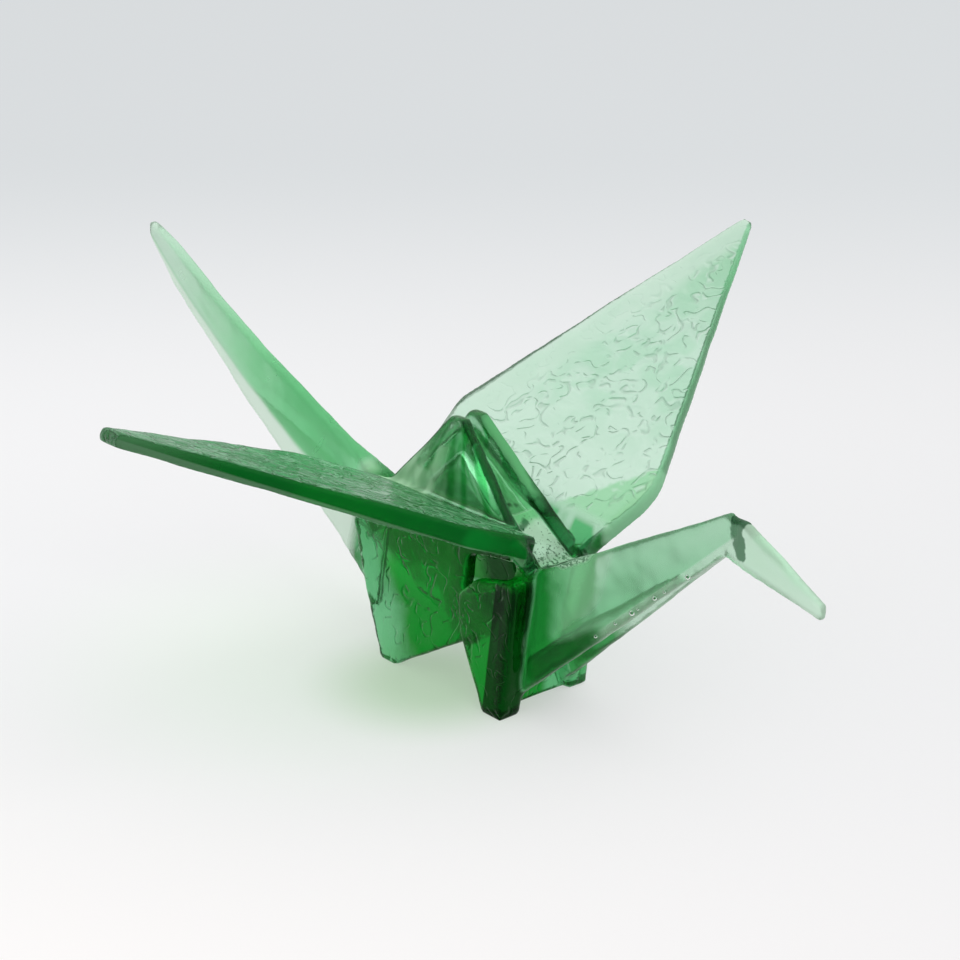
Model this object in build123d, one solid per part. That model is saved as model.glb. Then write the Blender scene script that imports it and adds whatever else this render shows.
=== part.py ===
from build123d import *
import math
import os

# Origami crane cast in green glass: one solid, in millimetres, +Z up.
# The head points along +X, the tail along -X, and the near wing along -Y.
# The crane is drawn about the middle of its body, and at the end it is moved
# so that the middle of its box stands on the origin.

# Glass thicknesses, and how far the fire softened the edges
side_wall = 4.2
flap_wall = 4.6
inner_wall = 4.2
near_wing_root_wall = 7.0
near_wing_tip_wall = 4.0
far_wing_root_wall = 5.8
far_wing_tip_wall = 2.9
ridge_wall = 4.0
web_wall = 4.0
neck_wall = 3.2
tail_wall = 2.8
edge_round = 1.4
ridge_round = 1.3

# Body seen from the side: apex, hinge corners, feet and the notch between them.
# A share is a height as a part of the apex height.
apex_height = 77.0
apex_length = 5.0
front_hinge_reach = 37.0
front_hinge_share = 0.565
back_hinge_reach = 40.0
back_hinge_share = 0.4675
near_toe_reach = 34.0
far_toe_reach = 31.5
front_sole_length = 7.0
back_toe_reach = 19.0
back_sole_length = 7.0
back_heel_rise = 0.6
notch_reach = 20.0
notch_share = 0.256
body_corner_round = 1.8

# Body seen from the front: half widths, at the middle of the side wall
apex_half_width = 3.1
foot_half_width = 15.4

# Window between the wing root and the front flap, one in each side wall,
# measured down from the front hinge corner
window_back = 12.0
window_front = 31.5
window_sill_drop_back = 13.5
window_sill_drop_front = 5.0
window_head_drop_back = 2.2
window_head_rise_front = 0.7
window_round = 1.5

# Narrowed flap that lies over the front of each side wall. Its drops are down from
# the front hinge corner, except the knee's, which is down from the notch.
near_flap_foot = 16.0
far_flap_foot = 14.8
flap_shoulder_half_width = 13.3
flap_shoulder_reach = 20.0
flap_shoulder_drop = 6.0
flap_back_reach = 13.0
flap_back_drop = 12.5
flap_knee_reach = 14.5
flap_knee_drop = 0.7
flap_drop = 1.5

# Inner layer of glass that fills out each front foot
inner_foot_half_width = 12.4
inner_drop = 13.5
inner_chamfer = 1.0

# Faces of the ridge, set back between the side walls
ridge_setback = 5.0
ridge_bend_reach = 17.0
ridge_foot_setback = 2.5

# Web that ties the two front feet
web_reach = 29.0
web_height = 15.0
web_clearance = 1.0

# Wings: the outline lies in the wing's own plane, out from the side wall,
# and the root stands above the front hinge corner by its rise
wing_root_half_width = 8.0
wing_root_front = 37.0
wing_front_corner_out = 28.0
wing_back_corner = 41.0
wing_back_corner_out = 27.5
wing_back_corner_round = 8.0
wing_tip_round = 1.7

near_wing_length = 114.55
near_wing_lift_angle = 24.2
near_wing_pitch_angle = -1.5
near_wing_root_rise = 5.3
near_wing_root_back = 26.0
near_wing_front_corner = 40.2
near_wing_front_corner_round = 8.0
near_wing_tip_back = 7.6
near_wing_tip_width = 8.4

far_wing_length = 125.0
far_wing_lift_angle = 31.6
far_wing_pitch_angle = 4.6
far_wing_root_rise = 1.5
far_wing_root_back = 34.0
far_wing_front_corner = 41.6
far_wing_front_corner_round = 22.0
far_wing_tip_back = 8.8
far_wing_tip_width = 3.8

# Front of the near wing's root, bent down to the hinge corner of the body
droop_start = 25.0
droop_out = 11.0
droop_wall = 5.0

# Neck: a folded ridge, open below, from between the side walls to the head.
# Its join rises above the front hinge corner.
neck_base_reach = 28.0
neck_crest_half_width = 1.7
neck_join_reach = 52.0
neck_join_rise = 8.0
neck_low_height = 0.5
neck_low_half_width = 12.6
neck_groove_base_roof = 12.5
neck_groove_base_half_width = 4.0
neck_groove_end_reach = 89.6
neck_groove_end_roof = 60.5
neck_groove_end_half_width = 0.4
head_reach = 101.0
head_height = 78.8
head_depth = 11.3
head_half_width = 2.7

# Beak, folded down from the head and let into its end
beak_tuck = 2.0
beak_inset = 1.0
brow_reach = 5.5
brow_height = 78.0
beak_low_height = 65.6
beak_half_width = 2.4
beak_reach = 133.2
beak_tip_height = 64.0
beak_tip_depth = 4.4
beak_tip_half_width = 1.6

# Tail: the same kind of ridge, longer and higher.
# Its base and join rise above the back hinge corner.
tail_base_reach = 27.0
tail_base_rise = 6.0
tail_base_inset = 2.0
tail_crest_half_width = 1.7
tail_join_reach = 54.0
tail_join_rise = 17.4
tail_join_depth = 28.0
tail_join_half_width = 7.0
tail_low_height = 12.5
tail_low_half_width = 11.5
tail_middle_reach = 98.0
tail_middle_height = 72.0
tail_middle_depth = 21.0
tail_middle_half_width = 4.2
tail_end_reach = 142.0
tail_end_height = 97.0
tail_end_depth = 15.5
tail_end_half_width = 2.5
tail_reach = 155.8
tail_tip_height = 100.0
tail_tip_depth = 5.0
tail_tip_half_width = 1.7

# How far a solid runs on where a floor or a neighbour trims it
trim = 3.0

# The least half width that a groove under a ridge is cut to, and its soft corners
groove_sliver = 0.3
groove_round = 0.25

# Heights that follow the apex: a taller crane keeps its windows, flaps and wing roots
front_hinge_height = front_hinge_share * apex_height
back_hinge_height = back_hinge_share * apex_height
notch_height = notch_share * apex_height
window_sill_back = front_hinge_height - window_sill_drop_back
window_sill_front = front_hinge_height - window_sill_drop_front
window_head_back = front_hinge_height - window_head_drop_back
window_head_front = front_hinge_height + window_head_rise_front
flap_shoulder_height = front_hinge_height - flap_shoulder_drop
flap_back_height = front_hinge_height - flap_back_drop
flap_knee_height = notch_height - flap_knee_drop
inner_height = front_hinge_height - inner_drop
near_wing_root_height = front_hinge_height + near_wing_root_rise
far_wing_root_height = front_hinge_height + far_wing_root_rise
neck_join_height = front_hinge_height + neck_join_rise
tail_base_height = back_hinge_height + tail_base_rise
tail_join_height = back_hinge_height + tail_join_rise


def side_plane(floor_half_width, lean):
    """The plane of a near side sheet: X forward, local Y up its slope."""
    return Plane(origin=(0, -floor_half_width, 0), x_dir=(1, 0, 0), z_dir=(0, -1, lean))


def outline_face(outline):
    """A face from corners given as (across, up, corner radius)."""
    corners = [(across, up) for across, up, _ in outline]
    radii = [radius for _, _, radius in outline]
    return make_face(FilletPolyline(*corners, radius=radii, close=True))


def soft_sheet(plane, face, thickness):
    """A sheet of glass with soft rims, half its thickness on each side of a plane."""
    return soft_rims(extrude(plane * face, amount=thickness / 2, both=True))


def soft_rims(sheet):
    """The sheet with the rims of its two broad faces rounded."""
    broad_faces = sheet.faces().sort_by(SortBy.AREA)[-2:]
    return fillet(broad_faces.edges(), edge_round)


def section(reach, top, depth, top_half, low_half, corner_round):
    """A four-cornered cross section of a folded ridge, square to X, with soft corners."""
    outline = [
        (-top_half, top, corner_round),
        (top_half, top, corner_round),
        (low_half, top - depth, corner_round),
        (-low_half, top - depth, corner_round),
    ]
    plane = Plane(origin=(reach, 0, 0), x_dir=(0, 1, 0), z_dir=(1, 0, 0))
    return plane * outline_face(outline)


def share(start, end, part):
    """The value a given part of the way from start to end."""
    return start + (end - start) * part


side_lean = (foot_half_width - apex_half_width) / apex_height


def side_half_width(height):
    """Half width of the body at a height, to the middle of the side wall."""
    return foot_half_width - side_lean * height


def side_wall_pane(toe_reach):
    """One side of the body, from the apex to both feet, with its window."""
    slope = math.hypot(1, side_lean)
    outline = [
        (apex_length / 2, apex_height),
        (front_hinge_reach, front_hinge_height),
        (toe_reach, -trim),
        (toe_reach - front_sole_length, -trim),
        (notch_reach, notch_height),
        (back_sole_length - back_toe_reach, back_heel_rise),
        (back_sole_length - back_toe_reach - trim, -trim),
        (-back_toe_reach, -trim),
        (-back_hinge_reach, back_hinge_height),
        (-apex_length / 2, apex_height),
    ]
    window = [
        (window_back, window_sill_back),
        (window_back, window_head_back),
        (window_front, window_head_front),
        (window_front, window_sill_front),
    ]
    plane = side_plane(foot_half_width, side_lean)
    face = outline_face([(x, z * slope, body_corner_round) for x, z in outline])
    hole = outline_face([(x, z * slope, window_round) for x, z in window])
    pane = soft_sheet(plane, face, side_wall) - extrude(plane * hole, amount=side_wall, both=True)
    return pane


def front_flap(toe_reach, flap_foot):
    """The narrowed flap over the front of a side wall, open above its shoulder."""
    lean = (flap_foot - flap_shoulder_half_width) / flap_shoulder_height
    slope = math.hypot(1, lean)
    outline = [
        (front_hinge_reach, front_hinge_height - flap_drop),
        (toe_reach, -trim),
        (toe_reach - front_sole_length, -trim),
        (flap_knee_reach, flap_knee_height),
        (flap_back_reach, flap_back_height),
        (flap_shoulder_reach, flap_shoulder_height),
    ]
    face = outline_face([(x, z * slope, body_corner_round) for x, z in outline])
    return soft_sheet(side_plane(flap_foot, lean), face, flap_wall)


def inner_layer(toe_reach):
    """The layer on the inside of a front leg, which runs up into the neck."""
    slope = math.hypot(1, side_lean)
    top_reach = share(toe_reach, front_hinge_reach, inner_height / front_hinge_height)
    outline = [
        (top_reach, inner_height),
        (toe_reach, -trim),
        (toe_reach - front_sole_length, -trim),
        (top_reach - front_sole_length, inner_height),
    ]
    face = make_face(Polyline(*[(x, z * slope) for x, z in outline], close=True))
    plane = side_plane(inner_foot_half_width, side_lean)
    layer = extrude(plane * face, amount=inner_wall / 2, both=True)
    return chamfer(layer.edges(), inner_chamfer)


def body_side(toe_reach, flap_foot):
    """The near side of the body: wall, flap and inner layer."""
    return side_wall_pane(toe_reach) + front_flap(toe_reach, flap_foot) + inner_layer(toe_reach)


def ridge_faces():
    """The front and back faces of the ridge, set back between the side walls."""
    front_fall = (apex_height - front_hinge_height) / (front_hinge_reach - apex_length / 2)
    back_fall = (apex_height - back_hinge_height) / (back_hinge_reach - apex_length / 2)
    front_drop = ridge_setback * math.hypot(1, front_fall)
    back_drop = ridge_setback * math.hypot(1, back_fall)
    crown = apex_height - max(front_drop, back_drop)
    bend_height = apex_height - front_drop - front_fall * (ridge_bend_reach - apex_length / 2)
    back_end = back_hinge_reach - ridge_setback
    back_end_height = apex_height - back_drop - back_fall * (back_end - apex_length / 2)
    path = [
        (-back_end, back_end_height),
        (0, crown),
        (ridge_bend_reach, bend_height),
        (front_hinge_reach, front_hinge_height - ridge_foot_setback),
    ]
    strip = trace(Polyline(*path), line_width=ridge_wall)
    side_on = Plane(origin=(0, 0, 0), x_dir=(1, 0, 0), z_dir=(0, -1, 0))
    sheets = extrude(side_on * strip, amount=foot_half_width, both=True)
    return sheets & between_walls(0, apex_height, back_hinge_reach + front_hinge_reach)


def between_walls(low, high, length):
    """The space between the middles of the two side walls, along X."""
    corners = [
        (-side_half_width(low), low),
        (side_half_width(low), low),
        (side_half_width(high), high),
        (-side_half_width(high), high),
    ]
    plane = Plane(origin=(0, 0, 0), x_dir=(0, 1, 0), z_dir=(1, 0, 0))
    return extrude(plane * make_face(Polyline(*corners, close=True)), amount=length, both=True)


def front_web():
    """The low web of glass between the two front feet."""
    middle = (web_height + web_clearance) / 2
    web = Pos(web_reach, 0, middle) * Box(web_wall, 2 * foot_half_width, web_height - web_clearance)
    return web & between_walls(0, web_height, front_hinge_reach)


def wing_plane(side, lift_angle, pitch_angle, root_height):
    """The plane of a wing: X forward along its root, local Y out to its tip."""
    forward = Vector(1, 0, 0).rotate(Axis.Y, pitch_angle)
    out = Vector(0, side, 0).rotate(Axis.X, side * lift_angle)
    root = Vector(0, side * wing_root_half_width, root_height)
    return Plane(origin=root, x_dir=forward, z_dir=forward.cross(out))


def wing(plane, length, corners, tip, walls):
    """One wing, a flat pane that thins from its root to its tip.

    Corners are (root back, front corner, its radius), the tip is (set back, width)
    and the walls are the thicknesses at root and tip.
    """
    root_back, front_corner, front_corner_round = corners
    tip_back, tip_width = tip
    root_wall, tip_wall = walls
    outline = [
        (wing_root_front, 0, wing_tip_round),
        (front_corner, wing_front_corner_out, front_corner_round),
        (tip_width / 2 - tip_back, length, wing_tip_round),
        (-tip_width / 2 - tip_back, length, wing_tip_round),
        (-wing_back_corner, wing_back_corner_out, wing_back_corner_round),
        (-root_back, 0, wing_tip_round),
    ]
    edge_on = Plane(origin=plane.origin, x_dir=plane.y_dir, z_dir=plane.x_dir)
    thickness = [
        (0, -root_wall / 2),
        (length, -tip_wall / 2),
        (length, tip_wall / 2),
        (0, root_wall / 2),
    ]
    taper = extrude(edge_on * make_face(Polyline(*thickness, close=True)), amount=length, both=True)
    return soft_rims(extrude(plane * outline_face(outline), amount=root_wall, both=True) & taper)


def near_wing_plane():
    """The plane of the near wing."""
    return wing_plane(-1, near_wing_lift_angle, near_wing_pitch_angle, near_wing_root_height)


def near_wing():
    """The near wing."""
    corners = (near_wing_root_back, near_wing_front_corner, near_wing_front_corner_round)
    tip = (near_wing_tip_back, near_wing_tip_width)
    walls = (near_wing_root_wall, near_wing_tip_wall)
    return wing(near_wing_plane(), near_wing_length, corners, tip, walls)


def far_wing():
    """The far wing, which stands a little steeper."""
    plane = wing_plane(1, far_wing_lift_angle, far_wing_pitch_angle, far_wing_root_height)
    corners = (far_wing_root_back, far_wing_front_corner, far_wing_front_corner_round)
    tip = (far_wing_tip_back, far_wing_tip_width)
    walls = (far_wing_root_wall, far_wing_tip_wall)
    return wing(plane, far_wing_length, corners, tip, walls)


def droop():
    """The front of the near wing's root, bent down to the hinge corner."""
    plane = near_wing_plane()
    root = plane.from_local_coords(Vector(droop_start, 0, 0))
    edge = plane.from_local_coords(Vector(near_wing_front_corner - edge_round, droop_out, 0))
    corner_width = side_half_width(front_hinge_height)
    corner = Vector(front_hinge_reach, -corner_width, front_hinge_height)
    forward = corner - root
    bent = Plane(origin=root, x_dir=forward, z_dir=forward.cross(edge - root))
    corners = [bent.to_local_coords(point) for point in (root, corner, edge)]
    face = make_face(Polyline(*[(corner.X, corner.Y) for corner in corners], close=True))
    return soft_sheet(bent, face, droop_wall)


def ridge(direction, stations):
    """A folded ridge lofted through its stations.

    A station is (reach, top, depth, half width of the crest, half width below).
    """
    sections = [section(direction * reach, *rest, ridge_round) for reach, *rest in stations]
    return loft(sections, ruled=True)


def groove(direction, stations):
    """The space between the two flaps of a ridge, open below.

    A station is (reach, roof, floor, half width of the roof, half width of the floor).
    """
    sections = []
    for reach, roof, floor, roof_half, floor_half in stations:
        outline = (roof, roof - floor, roof_half, floor_half)
        sections.append(section(direction * reach, *outline, groove_round))
    return loft(sections, ruled=True)


def neck_low_edge(reach):
    """Height and half width of the neck's lower edges, straight from foot to head."""
    part = (reach - neck_base_reach) / (head_reach - neck_base_reach)
    low = share(neck_low_height, head_height - head_depth, part)
    return low, share(neck_low_half_width, head_half_width, part)


def neck():
    """The neck: wide where it leaves the body, closed to a crest further on."""
    base_half = side_half_width(front_hinge_height)
    crest_fall = (neck_join_height - front_hinge_height) / (neck_join_reach - front_hinge_reach)
    base_height = front_hinge_height - crest_fall * (front_hinge_reach - neck_base_reach)
    crest = [
        (neck_base_reach, base_height, base_half),
        (front_hinge_reach, front_hinge_height, base_half),
        (neck_join_reach, neck_join_height, neck_crest_half_width),
        (head_reach, head_height, neck_crest_half_width),
    ]
    stations = []
    for reach, top, top_half in crest:
        low, low_half = neck_low_edge(reach)
        stations.append((reach, top, top - low, top_half, low_half))
    return ridge(1, stations) - neck_groove()


def neck_groove():
    """The space under the neck, which runs out before the head."""
    ends = [
        (neck_base_reach, neck_groove_base_roof, neck_groove_base_half_width),
        (neck_groove_end_reach, neck_groove_end_roof, neck_groove_end_half_width),
    ]
    stations = []
    for reach, roof, roof_half in ends:
        low, low_half = neck_low_edge(reach)
        stations.append((reach, roof, low - trim, roof_half, low_half - neck_wall))
    return groove(1, stations)


def beak():
    """The beak, folded down from the head."""
    inside = (head_reach - beak_tuck, head_height - beak_inset, head_depth - beak_inset)
    brow = (head_reach + brow_reach, brow_height, brow_height - beak_low_height)
    tip = (beak_reach, beak_tip_height, beak_tip_depth)
    stations = [
        (*inside, neck_crest_half_width, beak_half_width),
        (*brow, neck_crest_half_width, beak_half_width),
        (*tip, beak_tip_half_width, beak_tip_half_width),
    ]
    return ridge(1, stations)


def tail():
    """The tail: wide inside the body, then a long crest up to its tip."""
    base = (tail_base_reach, tail_base_height, tail_base_height - tail_low_height)
    base_half = side_half_width(front_hinge_height) - tail_base_inset
    join = (tail_join_reach, tail_join_height, tail_join_depth)
    middle = (tail_middle_reach, tail_middle_height, tail_middle_depth)
    end = (tail_end_reach, tail_end_height, tail_end_depth)
    tip = (tail_reach, tail_tip_height, tail_tip_depth)
    stations = [
        (*base, base_half, tail_low_half_width),
        (*join, tail_crest_half_width, tail_join_half_width),
        (*middle, tail_crest_half_width, tail_middle_half_width),
        (*end, tail_crest_half_width, tail_end_half_width),
        (*tip, tail_tip_half_width, tail_tip_half_width),
    ]
    return ridge(-1, stations) - tail_groove(stations)


def tail_groove(stations):
    """The space under the tail, as far along as its two flaps stand apart."""
    narrowest = tail_wall + groove_sliver
    hollow = []
    for near_end, far_end in zip(stations[:-1], stations[1:]):
        hollow.append(near_end)
        if far_end[-1] < narrowest:
            part = (near_end[-1] - narrowest) / (near_end[-1] - far_end[-1])
            hollow.append([share(start, end, part) for start, end in zip(near_end, far_end)])
            break
    spaces = []
    for reach, top, depth, top_half, low_half in hollow:
        spread = (low_half - top_half) / depth
        roof = max(ridge_wall, (narrowest - top_half) / spread)
        roof_half = top_half + spread * roof - tail_wall
        floor_half = low_half + spread * trim - tail_wall
        spaces.append((reach, top - roof, top - depth - trim, roof_half, floor_half))
    return groove(-1, spaces)


def crane():
    """The whole casting, standing on the flat soles of its four feet."""
    casting = body_side(near_toe_reach, near_flap_foot)
    casting += mirror(body_side(far_toe_reach, far_flap_foot), about=Plane.XZ)
    casting += ridge_faces()
    casting += front_web()
    casting += neck()
    casting += beak()
    casting += tail()
    casting += near_wing()
    casting += droop()
    casting += far_wing()
    reach = 2 * (tail_reach + near_wing_length)
    casting -= Pos(0, 0, -apex_height / 2) * Box(reach, reach, apex_height)
    box = casting.bounding_box()
    return Pos(-box.center().X, -box.center().Y, 0) * casting


if __name__ == "__main__":
    os.makedirs("parts", exist_ok=True)
    origami_crane = crane()
    box = origami_crane.bounding_box()
    print("origami_crane", round(origami_crane.volume), "mm3", box.size)
    export_step(origami_crane, "parts/origami_crane.step")
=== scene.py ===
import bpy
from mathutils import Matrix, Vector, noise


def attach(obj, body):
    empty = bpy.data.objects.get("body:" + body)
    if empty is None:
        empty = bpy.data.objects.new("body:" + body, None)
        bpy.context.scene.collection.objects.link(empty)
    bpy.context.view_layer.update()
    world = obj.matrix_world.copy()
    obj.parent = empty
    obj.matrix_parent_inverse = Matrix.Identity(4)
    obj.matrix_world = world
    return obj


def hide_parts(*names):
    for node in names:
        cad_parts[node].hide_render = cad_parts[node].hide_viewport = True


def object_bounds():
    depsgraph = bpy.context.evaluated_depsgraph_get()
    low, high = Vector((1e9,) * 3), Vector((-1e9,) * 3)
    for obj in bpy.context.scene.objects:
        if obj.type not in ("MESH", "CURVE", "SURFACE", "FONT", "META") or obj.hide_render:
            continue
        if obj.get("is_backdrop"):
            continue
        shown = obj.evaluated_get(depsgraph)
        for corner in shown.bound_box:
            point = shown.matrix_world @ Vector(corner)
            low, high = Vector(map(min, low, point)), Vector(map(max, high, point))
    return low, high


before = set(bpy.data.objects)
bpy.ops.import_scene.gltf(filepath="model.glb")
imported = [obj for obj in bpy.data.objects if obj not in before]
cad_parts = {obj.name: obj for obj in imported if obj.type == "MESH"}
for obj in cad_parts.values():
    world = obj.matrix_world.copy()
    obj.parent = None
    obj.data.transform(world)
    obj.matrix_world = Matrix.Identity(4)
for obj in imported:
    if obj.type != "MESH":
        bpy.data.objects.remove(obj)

# %% [markdown]
# The object is a folded bird cast in green glass: the mould was taken from a sheet that had been
# folded by hand, so the glass keeps the sheet's creases, but every edge is melted soft.
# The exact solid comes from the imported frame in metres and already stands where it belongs.
# Its box is kept here, because the dressed piece has to stay inside it.

MM = 0.001
cast_low, cast_high = (Vector(corner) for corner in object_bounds())
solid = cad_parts["origami_crane"]
print("box of the solid in mm", [round(side / MM, 1) for side in cast_high - cast_low])

# %% [markdown]
# A casting has no sharp edges: the glass slumps into the mould and rounds itself by a millimetre.
# A bevel would have to find every crease of the solid. A voxel remesh needs no edges at all: it
# wraps the solid in an even skin, which a short smoothing then relaxes like warm glass.
# The even skin also has points enough for the slow waves that melting leaves on a sheet.

# %% Wrap the solid in an even skin
SKIN_STEP = 0.9 * MM
RELAX_ROUNDS = 3
RELAX_SHARE = 0.5

casting = bpy.data.objects.new("glass_casting", solid.data.copy())
bpy.context.scene.collection.objects.link(casting)
wrap = casting.modifiers.new("wrap", "REMESH")
wrap.mode = "VOXEL"
wrap.voxel_size = SKIN_STEP
relax = casting.modifiers.new("relax", "SMOOTH")
relax.factor = RELAX_SHARE
relax.iterations = RELAX_ROUNDS
graph = bpy.context.evaluated_depsgraph_get()
skin = bpy.data.meshes.new_from_object(casting.evaluated_get(graph))
casting.modifiers.clear()
casting.data = skin
print("skin of", len(skin.vertices), "points and", len(skin.polygons), "faces")

# %% [markdown]
# Kiln glass is never flat. Its faces carry slow waves a finger wide and finer ones inside them,
# and they bend what is seen through the wall. Moving each point along its normal by a noise
# value makes them in the shape itself, so they also show in the outline of the wings.
# Each pair below is a wave's width and height. No point may leave the box of the solid.

# %% Give the faces their slow waves
WAVES = ((22 * MM, 0.32 * MM), (9 * MM, 0.18 * MM), (4 * MM, 0.06 * MM))

pushes = []
for point in skin.vertices:
    push = sum(height * noise.noise(point.co / width) for width, height in WAVES)
    pushes.append(point.co + point.normal * push)
for point, moved in zip(skin.vertices, pushes):
    point.co = [min(max(value, low), high) for value, low, high in zip(moved, cast_low, cast_high)]
print("waves of", [round(height / MM, 2) for width, height in WAVES], "mm")

# %% [markdown]
# On the real casting the crest of the tail bends down near its end, as if the glass had sunk
# there in the fire. The points are drawn towards the tail's lower edge, most at the last corner
# and not at all where the stretch begins and where it ends. A bend modifier would also turn the
# tip away from its place, while this leaves it where it is.

# %% Let the end of the tail sag
SAG_FROM = -90 * MM
SAG_CORNER = -130.7 * MM
SAG_SHARE = 0.20
TAIL_LOW_START = Vector((-86.7, 0, 51)) * MM
TAIL_LOW_END = Vector((-144.5, 0, 95)) * MM

tip_reach = cast_low.x
low_slope = (TAIL_LOW_END.z - TAIL_LOW_START.z) / (TAIL_LOW_END.x - TAIL_LOW_START.x)
deepest = 0.0
for point in skin.vertices:
    if point.co.x > SAG_FROM:
        continue
    far_along = (SAG_FROM - point.co.x) / (SAG_FROM - SAG_CORNER)
    beyond = (point.co.x - tip_reach) / (SAG_CORNER - tip_reach)
    low_edge = TAIL_LOW_START.z + (point.co.x - TAIL_LOW_START.x) * low_slope
    sag = max(point.co.z - low_edge, 0) * SAG_SHARE * min(far_along, beyond, 1)
    point.co.z -= sag
    deepest = max(deepest, sag)
print("the end of the tail sags by", round(deepest / MM, 1), "mm at most")

# %% [markdown]
# Most places on a crane are told by how far they lie from the middle of its body, so the
# numbers below are written in millimetres from there. Ahead is towards the head, and the near
# wing points to the negative side.

# %% Find the middle of the body
BODY_AHEAD = 11.3
BODY_ASIDE = -1.0


def place(ahead, aside, up):
    """A point given in millimetres from the middle of the body, in the frame's metres."""
    return Vector((ahead + BODY_AHEAD, aside + BODY_ASIDE, up)) * MM


middle = place(0, 0, 0)
print("middle of the body at", [round(v, 4) for v in middle])

# %% [markdown]
# Small air bubbles are caught along the lower edge of the neck. A bubble is a ball of air, so
# its skin faces the other way from the glass round it: the ball's faces are turned inside out
# and the ball joins the same mesh, and a ray that enters it leaves the glass for a moment.
# Each pair below is how far along the chain a bubble lies, and its radius in millimetres.

# %% Catch a few bubbles in the neck
import bmesh

BUBBLE_DETAIL = 2
CHAIN_START = place(60, -9.0, 31.5)
CHAIN_END = place(97, -2.6, 64.5)
BUBBLES = (
    (0.05, 0.5),
    (0.22, 0.4),
    (0.36, 0.75),
    (0.41, 0.35),
    (0.55, 0.6),
    (0.63, 0.4),
    (0.82, 0.7),
)

mould = bmesh.new()
mould.from_mesh(skin)
for share, radius in BUBBLES:
    made = bmesh.ops.create_icosphere(mould, subdivisions=BUBBLE_DETAIL, radius=radius * MM)
    bmesh.ops.translate(mould, verts=made["verts"], vec=CHAIN_START.lerp(CHAIN_END, share))
    faces = {face for point in made["verts"] for face in point.link_faces}
    bmesh.ops.reverse_faces(mould, faces=list(faces))
mould.to_mesh(skin)
mould.free()
skin.shade_smooth()
print(len(BUBBLES), "bubbles in the neck,", len(skin.polygons), "faces in all")

# %% [markdown]
# A shader sum is easier to read as a sum than as a list of nodes and links. The class below
# wraps one socket, so that a sign between two wires adds the Math node which does that sum.
# The reflected forms are there for sums that start with a plain number, such as 1 - mask.

# %% Write shader sums as sums
class Wire:
    """One output of a node that can stand in a sum."""

    def __init__(self, finish, socket):
        self.finish = finish
        self.socket = socket

    def sum_of(self, operation, first, second=0.0):
        return self.finish.node("ShaderNodeMath", {"operation": operation}, {0: first, 1: second})

    def __add__(self, other):
        return self.sum_of("ADD", self, other)

    def __sub__(self, other):
        return self.sum_of("SUBTRACT", self, other)

    def __rsub__(self, other):
        return self.sum_of("SUBTRACT", other, self)

    def __mul__(self, other):
        return self.sum_of("MULTIPLY", self, other)

    def __truediv__(self, other):
        return self.sum_of("DIVIDE", self, other)

    def __rtruediv__(self, other):
        return self.sum_of("DIVIDE", other, self)

    def __neg__(self):
        return 0 - self

    def __abs__(self):
        return self.sum_of("ABSOLUTE", self)

    __radd__ = __add__
    __rmul__ = __mul__


print("sums can be written with signs")

# %% [markdown]
# The second class is the material, and its one method adds every kind of node: it takes the
# node's type, its settings, which are set first, and the values or links of its sockets.
# The shorter methods under it only spare some typing. A ramp goes softly from 0 to 1 between two
# values, and with the right value behind it, it is the mask of nearly everything that follows.

# %% Add nodes by one method
MIX_SHARE, MIX_FIRST, MIX_SECOND, MIX_RESULT = 0, 6, 7, 2


class Finish:
    """A material or a world whose nodes all come from one method."""

    def __init__(self, owner):
        owner.use_nodes = True
        self.owner = owner
        self.tree = owner.node_tree
        self.tree.nodes.clear()

    def node(self, kind, settings=None, sockets=None, out=0):
        """Add a node of this kind, set it, fill its sockets and give one of its outputs."""
        made = self.tree.nodes.new(kind)
        for name, value in (settings or {}).items():
            setattr(made, name, value)
        for name, value in (sockets or {}).items():
            if isinstance(value, Wire):
                self.tree.links.new(value.socket, made.inputs[name])
            else:
                made.inputs[name].default_value = value
        return Wire(self, made.outputs[out]) if len(made.outputs) else None

    def ramp(self, value, start, end):
        """Go softly from 0 where the value is at start to 1 where it is at end."""
        return self.node(
            "ShaderNodeMapRange",
            {"interpolation_type": "SMOOTHSTEP"},
            {"Value": value, "From Min": start, "From Max": end},
        )

    def blend(self, share, first, second):
        """Mix two colours by a share."""
        return self.node(
            "ShaderNodeMix",
            {"data_type": "RGBA"},
            {MIX_SHARE: share, MIX_FIRST: first, MIX_SECOND: second},
            out=MIX_RESULT,
        )

    def lay_over(self, share, under, over):
        """Lay one shader over another by a share."""
        return self.node("ShaderNodeMixShader", {}, {0: share, 1: under, 2: over})

    def clouds(self, where, size, detail=2.0, warp=0.0):
        """Cloudy noise whose clouds are about this many millimetres across."""
        return self.node(
            "ShaderNodeTexNoise",
            {},
            {"Vector": where, "Scale": 1 / (size * MM), "Detail": detail, "Distortion": warp},
        )

    def vector(self, operation, first, second, out="Vector"):
        """Vector Math on two vectors, which gives a Vector or a Value."""
        return self.node("ShaderNodeVectorMath", {"operation": operation}, {0: first, 1: second}, out)

    def reach(self, where, direction, start):
        """How many millimetres a point lies along a direction from a starting point."""
        direction = direction.normalized()
        along = self.vector("DOT_PRODUCT", where, direction, out="Value")
        return (along - direction.dot(start)) * (1 / MM)

    def line_gap(self, where, start, end):
        """How many millimetres a point lies from the straight line between two points."""
        line = end - start
        from_start = self.vector("SUBTRACT", where, start)
        share = self.vector("DOT_PRODUCT", from_start, line / line.length_squared, out="Value")
        held = self.node("ShaderNodeClamp", {}, {"Value": share})
        foot = self.node("ShaderNodeVectorMath", {"operation": "SCALE"}, {0: line, "Scale": held})
        return self.vector("DISTANCE", from_start, foot, out="Value") * (1 / MM)


print("materials can be written")

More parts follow.
